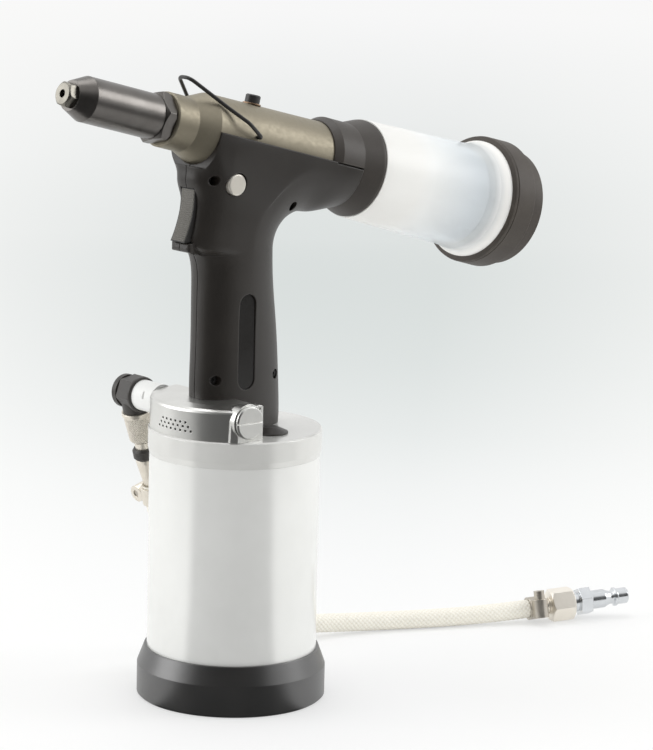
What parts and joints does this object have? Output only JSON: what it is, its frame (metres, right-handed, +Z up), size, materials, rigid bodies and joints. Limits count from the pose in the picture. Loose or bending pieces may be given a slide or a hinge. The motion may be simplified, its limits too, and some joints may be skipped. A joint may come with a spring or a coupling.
{
  "type": "pneumatic riveter",
  "caption": "Hand held pneumatic-hydraulic blind riveter: upright air cylinder, pistol grip, tilted pulling head with nose, mandrel jar at the rear and an air hose with plug.",
  "frame": {"origin": "centre of the rubber boot's underside, on the floor", "axes": "+Z up along the air cylinder, -X the way the nose points, XZ the plane of symmetry of grip and head"},
  "size_m": [0.4469, 0.1399, 0.3704],
  "materials": {
    "boot": "matt black rubber",
    "cylinder": "satin clear anodised",
    "steel": "machined",
    "dark_steel": "phosphated dark",
    "seal": "soft black",
    "head": "champagne anodised",
    "shell": "fine grained charcoal",
    "trigger": "grey, fine ribs",
    "black_plastic": "black moulded",
    "jar": "milky translucent",
    "cap": "dark grey brown",
    "valve": "satin die casting",
    "white_plastic": "white",
    "nickel": "warm nickel plate",
    "zinc": "bright zinc plate",
    "hose": "cream, braided",
    "copper": "copper",
    "wire": "black coated wire",
    "silencer": "felt"
  },
  "bodies": {
    "tool": {"air_cylinder": "cylinder", "air_plug": "zinc", "base_plate": "valve", "clamp_screws": "nickel", "coupling_ring": "black_plastic", "cylinder_cover": "valve", "end_plug": "valve", "grip_screws": "dark_steel", "grip_shell_left": "shell", "grip_shell_right": "shell", "head_body": "head", "head_end_cap": "steel", "hose": "hose", "hose_nipple": "nickel", "hose_tail": "nickel", "inlet_sleeve": "white_plastic", "inlet_spigot": "steel", "jar_collar": "black_plastic", "knurled_coupling": "nickel", "label_plate": "shell", "lock_nut": "dark_steel", "nose_housing": "dark_steel", "nosepiece": "dark_steel", "oil_screw": "wire", "oil_screw_washer": "copper", "oil_tube": "steel", "pilot_valve_body": "valve", "plug_end_clamp": "nickel", "return_spring": "steel", "rod_seal": "seal", "rubber_boot": "boot", "silencer_insert": "silencer", "snap_ring": "steel", "spool_spring": "steel", "suction_spring": "steel", "suction_valve_body": "valve", "swivel_elbow": "black_plastic", "tool_end_clamp": "nickel", "trigger_pin": "steel", "union_nut": "nickel", "valve_block": "valve", "valve_pin_spring": "steel", "vent_cap": "black_plastic"},
    "trigger": {"trigger": "trigger"},
    "valve_pin": {"valve_pin": "steel"},
    "spool": {"valve_spool": "steel"},
    "button": {"suction_button": "nickel"},
    "bail": {"bail": "wire"},
    "jar": {"collector_jar": "jar"},
    "cap": {"jar_cap": "cap"},
    "air_piston": {"air_piston": "valve", "air_piston_seal": "seal", "plunger_rod": "steel"},
    "pull_piston": {"pull_piston": "steel", "pull_piston_seal": "seal", "mandrel_tube": "steel", "jaw_housing": "dark_steel", "jaw_spring": "steel"},
    "jaws": {"jaws": "dark_steel", "jaw_pusher": "steel"}
  },
  "joints": [
    {"name": "trigger_slide", "type": "slide", "parent": "tool", "child": "trigger", "axis": [1, 0, 0], "range_m": [0, 0.0035], "stiffness_N_per_m": 1500, "springref_m": -0.002},
    {"name": "valve_pin_slide", "type": "slide", "parent": "tool", "child": "valve_pin", "axis": [1, 0, 0], "range_m": [0, 0.0035], "deforming": ["valve_pin_spring"]},
    {"name": "spool_slide", "type": "slide", "parent": "tool", "child": "spool", "axis": [0, -1, 0], "range_m": [0, 0.006], "deforming": ["spool_spring"]},
    {"name": "button_push", "type": "slide", "parent": "tool", "child": "button", "axis": [0, 1, 0], "range_m": [0, 0.003], "stiffness_N_per_m": 800, "springref_m": -0.002, "deforming": ["suction_spring"]},
    {"name": "bail_swing", "type": "hinge", "parent": "tool", "child": "bail", "pos_m": [-0.00465, 0, 0.33218], "axis": [0, 1, 0], "range_deg": [0, 110]},
    {"name": "jar_turn", "type": "hinge", "parent": "tool", "child": "jar", "pos_m": [0.13551, 0, 0.29343], "axis": [0.9679, 0, -0.2512], "range_deg": [0, 90]},
    {"name": "cap_pull", "type": "slide", "parent": "jar", "child": "cap", "axis": [0.9679, 0, -0.2512], "range_m": [0, 0.06]},
    {"name": "air_piston_slide", "type": "slide", "parent": "tool", "child": "air_piston", "axis": [0, 0, 1], "range_m": [0, 0.096]},
    {"name": "pull_piston_slide", "type": "slide", "parent": "tool", "child": "pull_piston", "axis": [0.9679, 0, -0.2512], "range_m": [0, 0.0256], "deforming": ["return_spring"]},
    {"name": "jaws_slide", "type": "slide", "parent": "pull_piston", "child": "jaws", "axis": [-0.9679, 0, 0.2512], "range_m": [0, 0.0015], "deforming": ["jaw_spring"]}
  ],
  "couplings": [
    {"joint": "valve_pin_slide", "follows": "trigger_slide", "ratio": 1},
    {"joint": "spool_slide", "follows": "trigger_slide", "ratio": 1.714},
    {"joint": "pull_piston_slide", "follows": "air_piston_slide", "ratio": 0.2666},
    {"joint": "jaws_slide", "follows": "air_piston_slide", "ratio": 0.0156}
  ]
}
